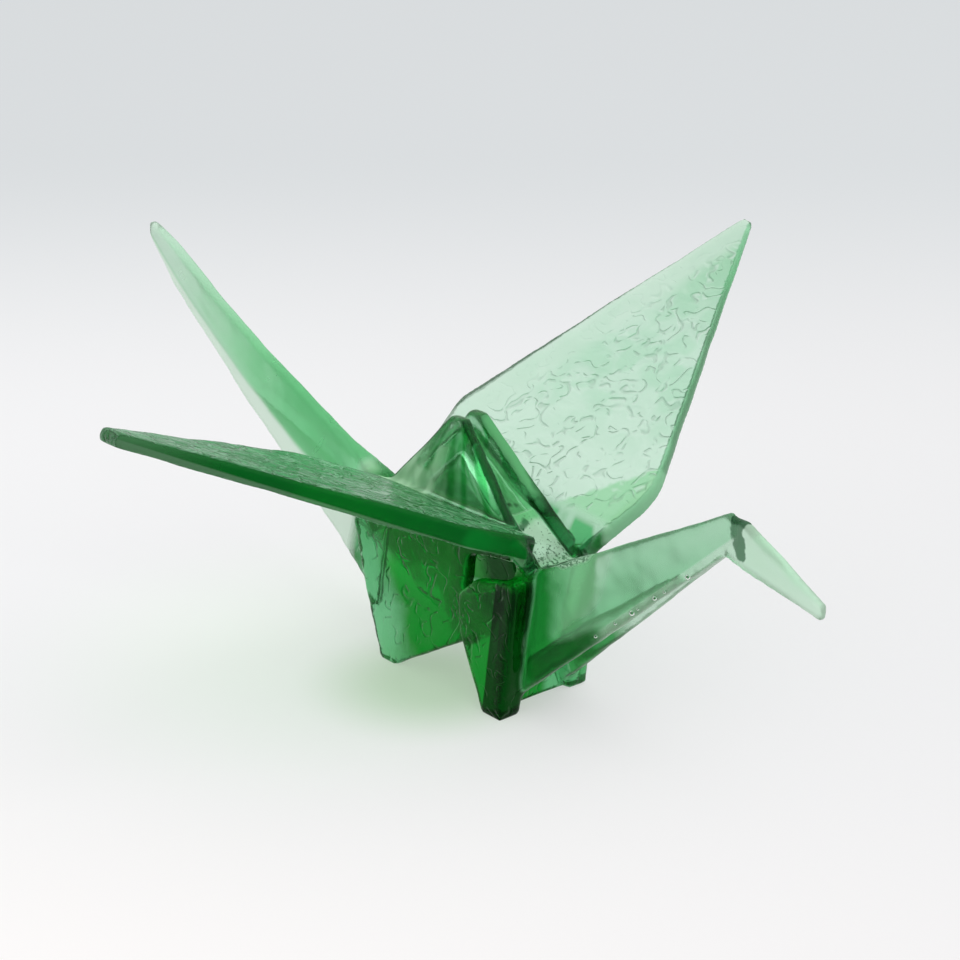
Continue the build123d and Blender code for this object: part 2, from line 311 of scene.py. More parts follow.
# %% [markdown]
# The finish changes from place to place on the casting, so it needs measures: how far ahead,
# aside and up a point lies, in millimetres from the middle of the body, and which way the skin
# faces there. The object's own coordinates give them without any unwrapping, and what is drawn
# with them stays on the part when it is turned.

# %% Measure along the bird
AHEAD = Vector((1, 0, 0))
ASIDE = Vector((0, 1, 0))
UP = Vector((0, 0, 1))

glass = Finish(bpy.data.materials.new("green_glass_cast"))
where = glass.node("ShaderNodeTexCoord", out="Object")
facing = glass.node("ShaderNodeTexCoord", out="Normal")
ahead = glass.reach(where, AHEAD, middle)
aside = glass.reach(where, ASIDE, middle)
up = glass.reach(where, UP, middle)
forward = glass.vector("DOT_PRODUCT", facing, AHEAD, out="Value")
sideways = glass.vector("DOT_PRODUCT", facing, ASIDE, out="Value")
skyward = glass.vector("DOT_PRODUCT", facing, UP, out="Value")
print("places and directions are measured from the middle of the body")

# %% [markdown]
# The body looks far deeper than the sheets that reach out of it, as several layers of the fold
# lie behind each other there. Soft masks say where each region is, and each one will lead the
# colour from nearly clear to deep green. Painted masks would need an unwrapped skin, while
# these follow from a few heights and widths of the fold. Each pair of numbers says where a
# mask begins and where it is full.

# %% Mask the regions of the bird
HINGE = 43.5
TOE = 34.0
FRONT_LEAN = 3 / HINGE
WALL_FOOT = 15.4
WALL_LEAN = 0.16
TAIL_BEGINS = (42, 48)
BEAK_BEGINS = (104.5, 106)
FAR_WING_OUT = (14, 19)
FAR_WING_UP = (44, 48)
NEAR_WING_OUT = (11, 13)
NEAR_WING_UP = (45.5, 46.5)
RIDGE_UP = (46, 50)
FAR_SIDE = (-1, 3)
NECK_BEGINS = (0.2, 1.4)
NECK_CLEARS = (1, 3)
NECK_SOLE_LEAN = 0.2

front_edge = ahead - up * FRONT_LEAN - TOE
far_side = glass.ramp(aside, *FAR_SIDE)
tail = glass.ramp(-ahead, *TAIL_BEGINS)
above_sole = up + ahead * NECK_SOLE_LEAN
neck = glass.ramp(front_edge, *NECK_BEGINS) * glass.ramp(above_sole, *NECK_CLEARS)
beak = glass.ramp(ahead, *BEAK_BEGINS)
far_wing = glass.ramp(aside, *FAR_WING_OUT) * glass.ramp(up, *FAR_WING_UP)
near_wing = glass.ramp(-aside, *NEAR_WING_OUT) * glass.ramp(up, *NEAR_WING_UP)
wings = far_wing + near_wing
body = (1 - tail) * (1 - neck) * (1 - wings)
ridge = body * glass.ramp(up, *RIDGE_UP)
wall_gap = abs(aside) + up * WALL_LEAN - WALL_FOOT
print("masks for wings, tail, neck, beak, ridge and body")

# %% [markdown]
# Where two sheets meet in a crease the glass is thickest and goes nearly black. Those creases
# are straight lines between points of the fold, so a mask for one needs only its two ends and
# a width: the distance from the line is worked out with Vector Math. A little noise on the
# distance gives them the uneven border that a melted fold has.

# %% Draw a crease between two points
WOBBLE_SIZE = 3.2
WOBBLE_REACH = 3.0

wobble = (glass.clouds(where, WOBBLE_SIZE) - 0.5) * WOBBLE_REACH


def crease(start, end, width, soft=0.8):
    """1 on a line between two points, falling to 0 at a width in mm, with an uneven border."""
    gap = glass.line_gap(where, start, end) + wobble
    return 1 - glass.ramp(gap, width - soft, width)


print("creases waver by", WOBBLE_REACH / 2, "mm at most")

# %% [markdown]
# The ridge between the wings is closed in front by the cut edges of its two walls. They stand
# as dark bars with a line along each side, and high on the far wall the bar lets light through
# and is pale. The far and the near face each have one soft shadow, as of a layer behind them.

# %% Mask the rims of the ridge
RIM_LINE = 2.6
RIM_FACING = 0.3
RIM_FORWARD = (RIM_FACING, 0.5)
RIM_UP = (42, 45)
RIM_AHEAD = (0, 4)
RIM_THICK = (-3.0, -2.3)
INNER_LINE = (0.3, 0.9)
OUTER_LINE = (0.1, 0.25)
FAR_TOP_UP = (54, 60)
FAR_TOP_SIDEWAYS = (0.6, 0.85)
BACK_FACING = (0.2, 0.5)
FRONT_FACING = (0.25, 0.5)
FRONT_THICK = (-3.3, -2.7)

rims = body * glass.ramp(up, *RIM_UP) * glass.ramp(wall_gap, *RIM_THICK)
rims = rims * glass.ramp(forward, *RIM_FORWARD) * glass.ramp(ahead, *RIM_AHEAD)
far_top = rims * far_side * glass.ramp(up, *FAR_TOP_UP)
inner_line = 1 - glass.ramp(abs(wall_gap + RIM_LINE), *INNER_LINE)
outer_line = 1 - glass.ramp(abs(forward - RIM_FACING), *OUTER_LINE)
rim_lines = inner_line * (1 - far_top) + outer_line * (1 - far_top)
rim_lines = rim_lines + far_top * glass.ramp(sideways, *FAR_TOP_SIDEWAYS)
back_rim = ridge * glass.ramp(-forward, *BACK_FACING)
ridge_front = ridge * glass.ramp(forward, *FRONT_FACING)
ridge_front = ridge_front * (1 - glass.ramp(wall_gap, *FRONT_THICK))
far_shade = crease(place(17, 8.5, 61), place(26, 9, 53), 3.8, 3.0) * ridge
near_shade = crease(place(2, -4, 75), place(0.5, -7, 56), 2.6, 2.2) * ridge
print("rims and shadows of the ridge masked")

# %% [markdown]
# A few single creases are strong enough to be drawn one by one: the crests where the neck
# starts, the fold across the ridge, a streak on the frosted face, the fold of the head, and the
# dark bar of glass that stands along the front edge of the flap.

# %% Mask the single creases
HINGE_ASIDE = 9.0
FLAP_BAR = (-8.0, -7.4)
FLAP_TOP = (38, 42)
FLAP_OUT = (6, 8)

root_crest = crease(place(37, HINGE_ASIDE, HINGE), place(52, 2, 51.5), 2.2)
sill_crest = crease(place(37, -7, 42.5), place(41, 6, 44.5), 1.8)
ridge_fold = crease(place(19.5, -6, 57), place(22.5, 8, 56), 1.0, 0.6)
frost_streak = crease(place(26, -5, 50.5), place(25, -1, 52), 1.4)
head_fold = crease(place(104, 0, 79), place(107, 0, 69.5), 3.0, 0.5)
flap_edge = glass.ramp(front_edge, *FLAP_BAR) * (1 - glass.ramp(up, *FLAP_TOP))
flap_edge = body * (flap_edge * glass.ramp(-aside, *FLAP_OUT))
print("single creases masked")

# %% [markdown]
# Through the windows the inner sides of the walls show, deeper than the outer ones, as
# everything under the ridge and between the walls lies in the shade of the whole fold. An inner
# side is one that faces the middle: there the direction it faces and its place have opposite
# signs, which one product tells. The outer sides of the walls are what is left of the body.

# %% Mask the inside
INNER_SIDE = (2.0, 5.0)
INNER_TOP = (40, 46)
UNDER_WIDTH = (9.5, 11)
UNDER_UP = (18, 24)
UNDER_TOP = (44, 48)
UNDER_SKYWARD = (0.1, 0.3)
INNER_DEPTH = 0.5
UNDER_DEPTH = 0.9
WINDOW_AHEAD = (-8, 0)
WINDOW_UP = (12, 18)

inner_side = glass.ramp(-(sideways * aside), *INNER_SIDE) * (1 - glass.ramp(up, *INNER_TOP))
under = body * (1 - glass.ramp(abs(aside), *UNDER_WIDTH))
under = under * (1 - glass.ramp(skyward, *UNDER_SKYWARD))
under_ridge = under * glass.ramp(up, *UNDER_UP) * (1 - glass.ramp(up, *UNDER_TOP))
inside = body * inner_side * INNER_DEPTH + under_ridge * UNDER_DEPTH
behind_window = body * far_side * inner_side
behind_window = behind_window * glass.ramp(ahead, *WINDOW_AHEAD) * glass.ramp(up, *WINDOW_UP)
outer_side = body * (1 - ridge) * (1 - inside) * (1 - flap_edge)
print("inside and outer sides masked")

# %% [markdown]
# The lower front face of the ridge is frosted: there the mould left a pale, rough skin with
# fine pits, more of them towards the neck. The pits are the peaks of a fine noise, and a second
# value added to it raises more of its peaks over the same level further ahead.

# %% Mask the frosted face
PIT_SIZE = 0.8
PIT_LEVEL = (0.63, 0.67)
PITS_GROW = (26, 44)
PIT_GAIN = 0.19
PIT_WOBBLE = 2
FROST_BEGINS = (22.0, 23.0)
FROST_ENDS = (50, 53)
FROST_UP = (39, 42)
FROST_WALL = (-3.2, -2.6)
FROST_SKYWARD = (0.2, 0.5)

frost = glass.ramp(ahead, *FROST_BEGINS) * (1 - glass.ramp(ahead, *FROST_ENDS))
frost = frost * glass.ramp(up, *FROST_UP) * (1 - glass.ramp(wall_gap, *FROST_WALL))
frost = frost * glass.ramp(skyward, *FROST_SKYWARD)
pit_depth = glass.ramp(ahead + wobble * PIT_WOBBLE, *PITS_GROW) * PIT_GAIN
pits = glass.ramp(glass.clouds(where, PIT_SIZE) + pit_depth, *PIT_LEVEL)
print("frosted face with pits of", PIT_SIZE, "mm")

# %% [markdown]
# Each wing is a flat pane in its own tilted plane. Measured along that plane instead of along
# the floor, the parts of the near wing become simple bands: the bar of glass at its front rim,
# the paler line under it, the top, and the lighter tip.

# %% Mask the bands of the near wing
NEAR_OUT = Vector((0, -0.912, 0.410))
NEAR_UP = Vector((0, 0.410, 0.912))
NEAR_ROOT = place(0, -8, 48.8)
NEAR_THINS = 0.02
RIM_FACES = (0.35, 0.6)
RIM_FOOT = (-2.5, -1.9)
NEAR_TIP = (85, 124)

near_rim = near_wing * glass.ramp(forward, *RIM_FACES)
near_level = glass.reach(where, NEAR_UP, NEAR_ROOT)
near_length = glass.reach(where, NEAR_OUT, NEAR_ROOT)
rim_low = near_rim * (1 - glass.ramp(near_level - near_length * NEAR_THINS, *RIM_FOOT))
near_tip = near_wing * glass.ramp(near_length, *NEAR_TIP)
near_top = near_wing * (1 - near_rim)
print("bands of the near wing ready")

# %% [markdown]
# The far wing shows its whole face. It has a greener strip at its root, folded along a slanting
# line, a smooth pale band along its back edge and a shade towards its tip. Both lines are given
# by two points each, and the direction across them in the pane turns a place into a distance.

# %% Mask the bands of the far wing
FAR_OUT = Vector((0, 0.852, 0.524))
FAR_FORWARD = Vector((0.997, 0, -0.080))
FAR_ROOT = place(0, 8, 45)
STRIP_START = place(18.4, 17.1, 49.1)
STRIP_END = place(37.3, 36.5, 59.5)
BACK_START = place(-26.7, 42.8, 68.5)
BACK_END = place(-9.3, 91.5, 97.1)
SMOOTH_BAND = (-9, -2)
BACK_LINE = (4.9, 5.7)
BACK_WOBBLE = 0.5
STRIP_EDGE = (-0.8, 0.8)
STRIP_FOLD_WIDTH = 1.2
CORNER_WIDTH = 8
TIP_SHADE = (70, 125)
ROOT_LIGHT = (20, 60)


def across(start, end, way):
    """The direction across a line in the far wing, ahead where way is 1 and back where -1."""
    line = (end - start).normalized()
    direction = FAR_OUT.cross(FAR_FORWARD).cross(line).normalized()
    if direction.x * way < 0:
        direction.negate()
    return direction


far_rim = far_wing * glass.ramp(forward, *RIM_FACES)
far_length = glass.reach(where, FAR_OUT, FAR_ROOT)
strip_gap = glass.reach(where, across(STRIP_START, STRIP_END, 1), STRIP_START)
root_strip = far_wing * glass.ramp(strip_gap + wobble, *STRIP_EDGE)
strip_fold = far_wing * crease(STRIP_START, STRIP_END, STRIP_FOLD_WIDTH)
corner = crease(place(38, 12, 44.7), place(43, 26, 52.7), CORNER_WIDTH, CORNER_WIDTH)
strip_corner = far_wing * corner
tip_shade = far_wing * glass.ramp(far_length, *TIP_SHADE)
root_light = far_wing * (1 - glass.ramp(far_length, *ROOT_LIGHT))
far_back = glass.reach(where, across(BACK_START, BACK_END, -1), BACK_START)
smooth_band = far_wing * glass.ramp(far_back, *SMOOTH_BAND)
back_line = far_wing * glass.ramp(far_back + wobble * BACK_WOBBLE, *BACK_LINE)
print("bands of the far wing ready")

# %% [markdown]
# The mould kept the crumples of a hand-worked sheet: short curled strokes all over both wings and the
# outer sides. A level line of a noise is such a curl, and a second noise breaks the lines into
# strokes. Each dark stroke is the foot of the embossed crumple, pressed in and painted with shade,
# and beside it lies a light one, a painted highlight on its lit shoulder, which is the same noise at
# a level a little higher.

# %% Draw the strokes of the crumples
CURL = 10
FINE_CURL = 6
BREAK = 6
BREAKS = (0.50, 0.56)
FINE_BREAKS = (0.42, 0.48)

curls = glass.clouds(where, CURL, detail=1.0, warp=0.5)
fine_curls = glass.clouds(where, FINE_CURL, detail=0.6, warp=0.3)


def level_line(clouds, level, core, edge):
    """1 where a noise is at this level, falling to 0 where it is an edge above or below it."""
    return 1 - glass.ramp(abs(clouds - level), core, edge)


dark_line = level_line(curls, 0.5, 0.004, 0.034)
fine_dark_line = level_line(fine_curls, 0.46, 0.006, 0.042)
light_line = level_line(curls, 0.53, 0.006, 0.036)
fine_light_line = level_line(fine_curls, 0.505, 0.006, 0.046)
break_noise = glass.clouds(where, BREAK, detail=1.0)
breaks = glass.ramp(break_noise, *BREAKS)
fine_breaks = 1 - glass.ramp(break_noise, *FINE_BREAKS)
shaded_grooves = dark_line * breaks + fine_dark_line * fine_breaks
highlight_strokes = light_line * breaks + fine_light_line * fine_breaks
print("crumples of", CURL, "and", FINE_CURL, "mm")

# %% [markdown]
# The strokes are pressed into the wings and the outer sides, and broader noise under them
# gives the soft dents between them. They are too fine for the skin's points, so one Bump node
# tilts the normals and the shape stays as it is. The rims are left plain and the smooth band
# of the far wing nearly so.

# %% Press the crumples into the sheets
DENT = 9
BODY_PRESSED = 0.45
SMOOTHED = 0.85
DENT_GAIN = 1.2
STROKE_GAIN = 0.65
NEAR_CURL_GAIN = 0.4
BUMP_DEPTH = 0.9 * MM
BUMP_STRENGTH = 0.7

dents = glass.clouds(where, DENT, warp=0.6)
pressed = (wings + (body - ridge) * BODY_PRESSED) * (1 - near_rim - far_rim)
pressed = pressed * (1 - smooth_band * SMOOTHED)
near_curls = dark_line + fine_dark_line - light_line - fine_light_line
relief = (dents * DENT_GAIN - shaded_grooves * STROKE_GAIN) * pressed
relief = relief - near_top * near_curls * NEAR_CURL_GAIN
bump = glass.node(
    "ShaderNodeBump", {}, {"Height": relief, "Distance": BUMP_DEPTH, "Strength": BUMP_STRENGTH}
)
print("crumples up to", BUMP_DEPTH / MM, "mm deep")

# %% [markdown]
# Cast glass is not evenly coloured: veils of thicker and thinner melt hang in it. Round clouds give
# them. The ridge also gets painted light, as of light that comes through its glass: pale streaks that
# spread like a fan from above the apex, and a pale back of its near face. For the fan the noise gets
# a place of its own, made of how far ahead a point is divided by how far below the fan's middle,
# which is the same all along one ray of the fan.

# %% Hang veils in the glass and paint light on the ridge
VEIL = 14
FAN_AHEAD = 3
FAN_UP = 86
FAN_ACROSS = 0.02
FAN_ALONG = 0.0002
FAN_STREAK = 4
VEIL_LEVEL = (0.40, 0.60)
FAN_LEVEL = (0.40, 0.58)
HIGH_RIDGE_AHEAD = (-12, 6)
HIGH_RIDGE_WAVER = 8

veils = glass.clouds(where, VEIL, warp=0.8)
streaks = glass.ramp(veils, *VEIL_LEVEL)
fan = (ahead - FAN_AHEAD) / (FAN_UP - up)
fan_place = glass.node("ShaderNodeCombineXYZ", {}, {"X": fan * FAN_ACROSS, "Y": up * FAN_ALONG})
fan_noise = glass.clouds(fan_place, FAN_STREAK, detail=1.0)
fan_light_streaks = ridge * glass.ramp(fan_noise, *FAN_LEVEL)
high_end = glass.ramp(ahead + streaks * HIGH_RIDGE_WAVER, *HIGH_RIDGE_AHEAD)
lit_high_ridge = ridge * (1 - far_side) * (1 - high_end)
print("veils of", VEIL, "mm")

# %% [markdown]
# The tail is pale below and mint above, and the mint fades towards its tip. The border between
# the two runs along it in a slow curve, which a straight line and a little of its square follow.
# The near outer side is pale where a single layer of glass stands before the light, and at the top of
# its panel it is painted with light, a brighter green that glows there.

# %% Mask the tail and the near side
TAIL_ROOT = 54
BORDER_UP = 37.4
BORDER_SLOPE = 0.383
BORDER_BEND = 0.00194
PALE_START = place(-40, -11, 36)
PALE_END = place(-19, -17, 0)
PALE_WIDTH = (9, 26)
PALE_WAVER = 16
BORDER_SOFT = (-1.0, 1.6)
PANEL_UP = (20, 32)
PANEL_AHEAD = (4, 10)

tail_reach = -ahead - TAIL_ROOT
border = tail_reach * BORDER_SLOPE + tail_reach * tail_reach * BORDER_BEND + BORDER_UP
tail_fold = glass.ramp(up - border, *BORDER_SOFT)
near_side = outer_side * (1 - far_side)
pale_gap = glass.line_gap(where, PALE_START, PALE_END) + veils * PALE_WAVER
side_pale = near_side * (1 - glass.ramp(pale_gap, *PALE_WIDTH))
# Painted light: a brighter green on the top of the near side's panel.
lit_panel_top = near_side * glass.ramp(up, *PANEL_UP) * (1 - glass.ramp(ahead, *PANEL_AHEAD))
print("tail and near side masked")

# %% [markdown]
# The neck rises along a straight lower edge. How far a point lies above that edge tells its bands
# apart: a pale strip with the bubbles in it, a band where the two walls overlap, the deep corner at
# its foot, with the body's layers behind it, and above that a place at the neck's root painted
# lighter, as painted light on that facet.

# %% Mask the bands of the neck
NECK_START = 28
NECK_SLOPE = 0.918
STRIP_ALONG = (50, 66)
STRIP_TOP = (3, 4.2)
BAND_FOOT = (3, 4.5)
BAND_TOP = (12, 16)
BAND_WAVER = 4
ROOT_FOOT = (12, 15)
ROOT_ENDS = (20, 25)
LOW_TOP = (3, 10)
DEEP_ENDS = (12.5, 21)

neck_height = up - (ahead - NECK_START) * NECK_SLOPE
above_band = neck_height + veils * BAND_WAVER
neck_low = 1 - glass.ramp(neck_height, *LOW_TOP)
deep_edge = front_edge + neck_height * 0.2 - neck_low * 12 + veils * 8
neck_deep = neck * (1 - glass.ramp(deep_edge, *DEEP_ENDS))
# Painted light: the facet at the root of the neck is made lighter.
lit_neck_root = neck * (1 - glass.ramp(front_edge, *ROOT_ENDS)) * glass.ramp(above_band, *ROOT_FOOT)
neck_band = neck * glass.ramp(neck_height, *BAND_FOOT) * (1 - glass.ramp(above_band, *BAND_TOP))
neck_strip = neck * (1 - glass.ramp(neck_height, *STRIP_TOP)) * glass.ramp(ahead, *STRIP_ALONG)
print("neck masked")

# %% [markdown]
# Glass gets most of its colour from depth. The volume behind the surface takes away red and
# blue for every millimetre that light travels in it, so thin sheets are pale mint and edges go
# dark. Every region has two colours more: the one that its glass lets through, which adds what
# the unseen layers of the fold add there, and the one that its milky skin shows. A ray meets
# the first only on its way into a wall, and a wall has two faces, so that colour is squared.

# %% Write a colour of the glass
WHITE_LEVEL = 255
SCREEN_CURVE = 2.2


def on_screen(red, green, blue):
    """The shader's colour for one that is seen at these levels of 255."""
    return tuple((level / WHITE_LEVEL) ** SCREEN_CURVE for level in (red, green, blue)) + (1,)


def colours(let_through, skin_levels):
    """What a wall lets through, squared for its two faces, and what its milky skin shows."""
    return tuple(level * level for level in let_through) + (1,), on_screen(*skin_levels)


print("colours can be written in pairs")

# %% [markdown]
# These are the pairs for the body and for what stands on it. The deep ones let hardly any red
# through, as several walls would, and the pale ones leave the colour to the volume.

# %% Choose the colours of the body
BLACK_GREEN = colours((0.001, 0.07, 0.006), (1, 48, 9))
DEEP = colours((0.004, 0.28, 0.026), (10, 126, 34))
SIDE_PALE = colours((0.26, 0.62, 0.36), (80, 150, 96))
FAR_GREEN = colours((0.20, 0.60, 0.30), (44, 122, 62))
FLAP_GREEN = colours((0.005, 0.32, 0.032), (18, 116, 36))
PANEL_LIT_GREEN = colours((0.012, 0.45, 0.05), (26, 160, 52))
INSIDE_GREEN = colours((0.006, 0.22, 0.02), (8, 76, 22))
RIDGE_DEEP = colours((0.20, 0.62, 0.30), (34, 126, 58))
RIDGE_LIT_PALE = colours((0.97, 1.0, 0.98), (186, 226, 190))
RIDGE_FRONT = colours((0.60, 0.92, 0.66), (104, 178, 120))
CREST_GREEN = colours((0.04, 0.25, 0.09), (44, 96, 62))
FROST_PALE = colours((0.80, 0.97, 0.86), (176, 214, 184))
FROST_GREEN = colours((0.50, 0.90, 0.60), (112, 190, 128))
print("body from", DEEP[0], "to", RIDGE_LIT_PALE[0])

# %% [markdown]
# Tail, neck, beak and wings are single sheets, and far paler. Their pairs differ by small
# steps, as the eye sees such steps well in pale glass.

# %% Choose the colours of the sheets
TAIL_PALE = colours((0.90, 0.97, 0.91), (222, 240, 226))
TAIL_MINT = colours((0.50, 0.92, 0.60), (120, 200, 142))
TAIL_HIGH = colours((0.90, 0.97, 0.91), (196, 224, 202))
NECK_GREEN = colours((0.68, 0.90, 0.74), (138, 196, 152))
NECK_LIT = colours((0.96, 1.0, 0.97), (150, 204, 162))
NECK_DEEP = colours((0.10, 0.50, 0.16), (26, 112, 46))
NECK_BAND = colours((0.75, 0.93, 0.80), (138, 190, 150))
NECK_STRIP = colours((0.90, 0.97, 0.91), (190, 218, 194))
BEAK_PALE = colours((0.86, 0.96, 0.88), (204, 234, 210))
NEAR_TOP = colours((0.20, 0.60, 0.30), (88, 160, 108))
NEAR_DEEP = colours((0.10, 0.44, 0.18), (46, 124, 68))
NEAR_HIGHLIGHT = colours((0.50, 0.82, 0.58), (136, 190, 152))
RIM_GREEN = colours((0.008, 0.42, 0.055), (20, 112, 44))
RIM_LIGHT = colours((0.36, 0.66, 0.42), (104, 150, 112))
WING_PALE = colours((0.98, 1.0, 0.98), (190, 224, 201))
WING_LIGHT = colours((0.96, 1.0, 0.97), (214, 236, 220))
WING_MINT = colours((0.72, 0.93, 0.78), (150, 208, 170))
WING_TIP = colours((0.56, 0.84, 0.62), (142, 200, 158))
WING_BACK = colours((0.96, 1.0, 0.97), (206, 228, 210))
STRIP_GREEN = colours((0.66, 0.92, 0.70), (158, 212, 168))
STRIP_DEEP = colours((0.22, 0.68, 0.32), (66, 160, 88))
FAR_RIM = colours((0.52, 0.80, 0.60), (140, 194, 154))
print("far wing", WING_PALE[0], "and near wing", NEAR_TOP[0])

# %% [markdown]
# The colours are laid over the deep green of the body one by one, each by its own mask. It
# works as glazes do on paper: a later layer covers an earlier one where its mask is 1, and a
# number beside a mask says how thickly it covers. The body and the sheets come first.

# %% Stack the colours of the body and the sheets
FLAP_AHEAD = (8, 12)
MINT_FADES = (20, 95)
FROST_TURNS = (24, 27)
MINT_ALONG = (25, 60)

SHEET_LAYERS = (
    (body * far_side, FAR_GREEN),
    (lit_panel_top * 0.7, PANEL_LIT_GREEN),
    (side_pale, SIDE_PALE),
    (near_side * glass.ramp(ahead, *FLAP_AHEAD), FLAP_GREEN),
    (ridge, RIDGE_DEEP),
    # Painted light through the ridge: pale fan streaks and the pale back of its near face.
    (fan_light_streaks * 0.55, RIDGE_LIT_PALE),
    (lit_high_ridge * (0.6 + fan_light_streaks * 0.4), RIDGE_LIT_PALE),
    (ridge_front * (0.6 + fan_light_streaks * 0.4), RIDGE_FRONT),
    (near_shade * 0.6, BLACK_GREEN),
    (inside, INSIDE_GREEN),
    (behind_window * 0.9, BLACK_GREEN),
    (tail, TAIL_PALE),
    (tail * tail_fold, TAIL_MINT),
    (tail * tail_fold * glass.ramp(tail_reach, *MINT_FADES), TAIL_HIGH),
    (neck, NECK_GREEN),
    (neck_band * 0.7, NECK_BAND),
    (neck_strip, NECK_STRIP),
    (lit_neck_root, NECK_LIT),
    (neck_deep, NECK_DEEP),
    (frost, FROST_PALE),
    (frost * (1 - glass.ramp(ahead + wobble, *FROST_TURNS)), FROST_GREEN),
    (beak, BEAK_PALE),
    (near_wing, NEAR_TOP),
    (near_wing * streaks * 0.7, NEAR_DEEP),
    # Painted shade in the strokes of the near wing, and painted highlights beside them.
    (near_top * (dark_line + fine_dark_line) * 0.6, FLAP_GREEN),
    (near_top * (light_line + fine_light_line) * 0.75, NEAR_HIGHLIGHT),
    (near_rim, RIM_GREEN),
    (rim_low + near_tip * 0.7, RIM_LIGHT),
    (far_wing, WING_PALE),
    (root_light, WING_LIGHT),
    (far_wing * streaks * glass.ramp(far_length, *MINT_ALONG) * 0.5, WING_MINT),
    (tip_shade, WING_TIP),
    (smooth_band * 0.7, WING_BACK),
    (root_strip, STRIP_GREEN),
    (strip_corner * 0.3, STRIP_DEEP),
    (far_rim, FAR_RIM),
)
print(len(SHEET_LAYERS), "layers for the sheets")

# %% [markdown]
# The lines go on last: creases and rims in nearly black green, the folds of wing and head in a softer
# one, and the strokes of the crumples, painted shade on the sheets and painted highlights on the far
# wing.

# %% Stack the lines over them
LINE_LAYERS = (
    (back_line * 0.6, CREST_GREEN),
    (strip_fold * 0.65, CREST_GREEN),
    (neck * head_fold * 0.9, CREST_GREEN),
    (rims, CREST_GREEN),
    (far_top * 0.9, RIDGE_FRONT),
    (rims * rim_lines, BLACK_GREEN),
    (far_shade * 0.85, BLACK_GREEN),
    (ridge_fold * body * 0.8 + root_crest * 0.85 + sill_crest * 0.85, BLACK_GREEN),
    (back_rim * 0.8, BLACK_GREEN),
    (flap_edge, BLACK_GREEN),
    (frost * pits * 0.75 + frost * frost_streak * 0.8, CREST_GREEN),
    # Painted shade in the strokes, and painted highlights beside them on the far wing.
    (shaded_grooves * (wings * 0.17 + outer_side * 0.8) * pressed, BLACK_GREEN),
    (highlight_strokes * far_wing * pressed * 0.5, WING_LIGHT),
)

through, on_skin = DEEP
for share, (let_through, shown) in SHEET_LAYERS + LINE_LAYERS:
    through = glass.blend(share, through, let_through)
    on_skin = glass.blend(share, on_skin, shown)
print(len(SHEET_LAYERS) + len(LINE_LAYERS), "layers of colour")

# %% [markdown]
# The surface came out of the mould satin rather than polished, and a thin milky skin lies over
# the clear glass: a little on the body, more on tail, neck and wings, and most at the back of
# the ridge's near face. Both shares are sums of masks, each with its own part.

# %% Share out the satin and the milk
SATIN_PARTS = (
    (tail, 0.20),
    (neck, 0.14),
    (beak, 0.12),
    (frost, 0.3),
    (veils, 0.10),
)
MILK_PARTS = (
    (neck, 0.25),
    (tail, 0.40),
    (beak, 0.15),
    (far_wing, 0.30),
    (near_wing, 0.40),
    (frost, 0.35),
    ((1 - tail_fold) * tail, 0.4),
    (lit_high_ridge, 0.85),
    (ridge_front, 0.3),
    (lit_neck_root, 0.15),
    (outer_side, 0.12),
    (far_top, 0.7),
    (flap_edge, 0.3),
    (behind_window, 0.5),
)
SATIN_EVERYWHERE = 0.04
MILK_EVERYWHERE = 0.10


def add_up(parts):
    """Add up masks, each times its share."""
    (mask, share), *rest = parts
    total = mask * share
    for mask, share in rest:
        total = total + mask * share
    return total


satin = add_up(SATIN_PARTS) + SATIN_EVERYWHERE
milk = add_up(MILK_PARTS) + MILK_EVERYWHERE
print("milk on", len(MILK_PARTS), "regions")

# %% [markdown]
# Three shaders make the glass. The first is clear and lets light through, the second is the
# milky skin, which scatters it, and a Mix Shader lays the second over the first. Both belong to
# the outside of a wall. When a ray leaves a wall it meets only the third, a plain satin way out
# without colour: milk or colour there would count twice, and it spares most of the nodes.

# %% Finish the glass
GLASS_BENDS = 1.45
GLEAM = (0.12, 0.45, 0.18, 1)
MILK_SATIN = 0.5
WAY_OUT_SATIN = 0.20
WHITE = (1, 1, 1, 1)

clear = glass.node(
    "ShaderNodeBsdfPrincipled",
    {},
    {
        "Base Color": through,
        "Roughness": satin,
        "IOR": GLASS_BENDS,
        "Transmission Weight": 1.0,
        "Specular Tint": GLEAM,
        "Normal": bump,
    },
)
milky = glass.node(
    "ShaderNodeBsdfPrincipled",
    {},
    {
        "Base Color": on_skin,
        "Roughness": MILK_SATIN,
        "Specular IOR Level": 0.0,
        "Specular Tint": GLEAM,
        "Normal": bump,
    },
)
way_out = glass.node(
    "ShaderNodeBsdfPrincipled",
    {},
    {
        "Base Color": WHITE,
        "Roughness": WAY_OUT_SATIN,
        "IOR": GLASS_BENDS,
        "Transmission Weight": 1.0,
        "Specular Tint": GLEAM,
    },
)
leaving = glass.node("ShaderNodeNewGeometry", out="Backfacing")
outside = glass.lay_over(milk, clear, milky)
both_ways = glass.lay_over(leaving, outside, way_out)
print("glass bends light by", GLASS_BENDS)

# %% [markdown]
# The colour in the depth is Volume Absorption: it takes light away along the path and
# scatters none, as good glass does. It stands behind the surface in the Material Output. The
# casting then takes the place of the plain solid, and its slot gets the name of its material.

# %% Fill the casting with colour
ABSORBING = 70.0
GLASS_LETS_THROUGH = (0.043, 0.757, 0.329, 1)

depth = glass.node(
    "ShaderNodeVolumeAbsorption", {}, {"Color": GLASS_LETS_THROUGH, "Density": ABSORBING}
)
glass.node("ShaderNodeOutputMaterial", {}, {"Surface": both_ways, "Volume": depth})
casting.data.materials.clear()
casting.data.materials.append(glass.owner)
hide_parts("origami_crane")
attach(casting, "root")
print("glass material on", casting.name)

